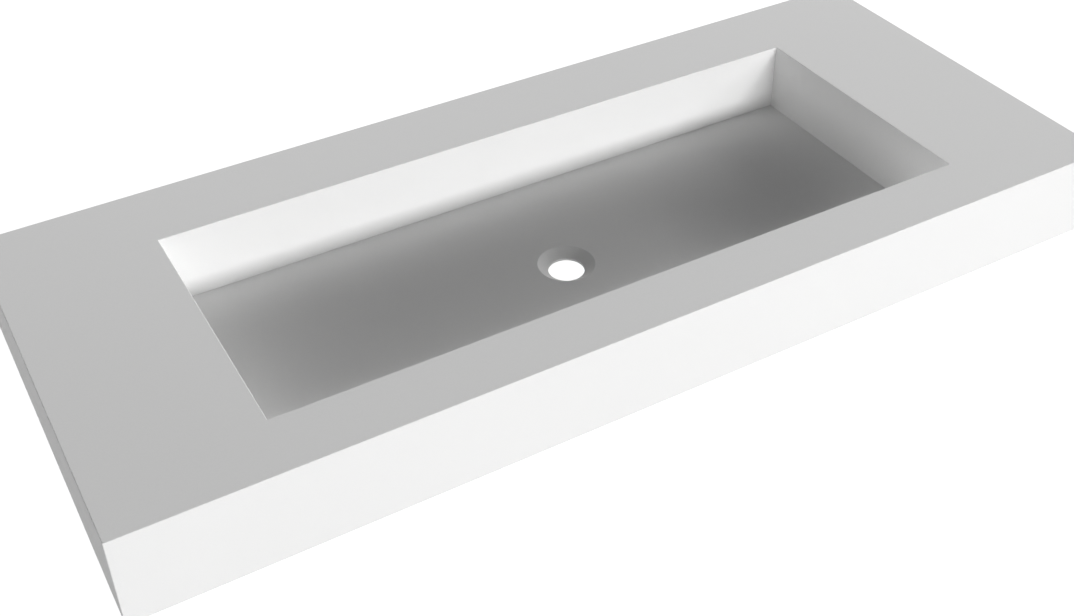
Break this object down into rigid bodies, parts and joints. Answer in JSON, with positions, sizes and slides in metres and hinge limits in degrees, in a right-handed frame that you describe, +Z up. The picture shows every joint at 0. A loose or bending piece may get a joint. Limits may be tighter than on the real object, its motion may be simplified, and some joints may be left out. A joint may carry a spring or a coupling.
{
  "type": "washbasin",
  "caption": "Wall-hung slab washbasin in matt white sheet: flat decks around a long shallow rectangular trough with a bare central waste outlet, on hidden wall consoles.",
  "frame": {"origin": "centre of the four wall bolts, on the wall plane behind the basin", "axes": "+X to the right as seen from the front, +Y into the wall, +Z up"},
  "size_m": [1.2, 0.5, 0.11],
  "materials": {
    "solid_surface": "matt white mineral-filled solid surface, finely sanded",
    "birch_plywood": "raw birch plywood, sawn edges",
    "galvanised_steel": "hot-dip galvanised, dull spangle",
    "zinc_plated_steel": "bright zinc plate",
    "brass": "turned brass"
  },
  "bodies": {
    "root": {"deck_panel": "solid_surface", "front_apron": "solid_surface", "left_apron": "solid_surface", "right_apron": "solid_surface", "bowl_floor": "solid_surface", "bowl_front_wall": "solid_surface", "bowl_back_wall": "solid_surface", "bowl_left_wall": "solid_surface", "bowl_right_wall": "solid_surface", "front_cleat": "solid_surface", "back_cleat": "solid_surface", "left_cleat": "solid_surface", "right_cleat": "solid_surface", "left_bearer": "birch_plywood", "right_bearer": "birch_plywood", "front_rail": "birch_plywood", "rear_rail": "birch_plywood", "front_apron_gussets": "birch_plywood", "left_apron_gussets": "birch_plywood", "right_apron_gussets": "birch_plywood", "left_bracket": "galvanised_steel", "right_bracket": "galvanised_steel", "bracket_washers": "zinc_plated_steel", "bracket_bolts": "zinc_plated_steel", "bracket_inserts": "brass"}
  },
  "joints": []
}
